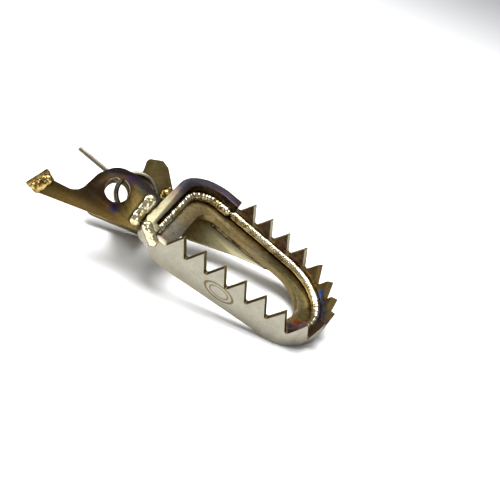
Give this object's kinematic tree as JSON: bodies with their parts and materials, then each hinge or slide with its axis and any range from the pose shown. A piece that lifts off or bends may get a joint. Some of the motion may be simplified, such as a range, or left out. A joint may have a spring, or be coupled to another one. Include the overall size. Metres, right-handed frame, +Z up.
{
  "type": "motorcycle foot peg",
  "caption": "Off-road motorcycle foot peg: welded titanium band of pointed teeth round an open tear-drop platform, with a slanted two-ear clevis, stop arm and loose return spring.",
  "frame": {"origin": "centre of the bounding box in plan, at the surface the peg lies on", "axes": "+X from the stop arm to the outer tip, +Y from the front edge to the rear edge, +Z up as the peg lies on a bench with its teeth upwards"},
  "size_m": [0.1376, 0.0692, 0.0406],
  "materials": {
    "satin_titanium": "satin raw titanium",
    "tinted_titanium": "satin titanium with a blue-grey heat tint",
    "straw_titanium": "satin titanium with a straw heat tint",
    "bronze_titanium": "satin titanium with a bronze and purple heat tint",
    "olive_titanium": "satin titanium with an olive heat tint",
    "weld_titanium": "bright rippled titanium weld with a gold tint",
    "spring_steel": "drawn spring wire"
  },
  "bodies": {
    "peg": {"far_ear": "olive_titanium", "far_ear_weld": "weld_titanium", "front_corner_weld": "weld_titanium", "hinge_wall": "tinted_titanium", "hinge_web": "bronze_titanium", "inner_ring": "straw_titanium", "near_ear": "bronze_titanium", "near_ear_weld": "weld_titanium", "rear_joint_weld": "weld_titanium", "rear_spar": "straw_titanium", "ring_weld": "weld_titanium", "spar_ear_weld": "weld_titanium", "spar_weld": "weld_titanium", "spring_coil": "spring_steel", "stop_pad": "weld_titanium", "stop_pad_weld_back": "weld_titanium", "stop_pad_weld_front": "weld_titanium", "toothed_band": "satin_titanium", "wall_ring_weld": "weld_titanium", "web_weld": "weld_titanium"},
    "spring_arm": {"spring_leg": "spring_steel"}
  },
  "joints": [
    {"name": "spring_leg_wind", "type": "hinge", "parent": "peg", "child": "spring_arm", "pos_m": [-0.03007, -0.0009, 0.02563], "axis": [-0.2582, 0.8401, -0.477], "range_deg": [0, 70], "stiffness_Nm_per_rad": 0.6}
  ]
}
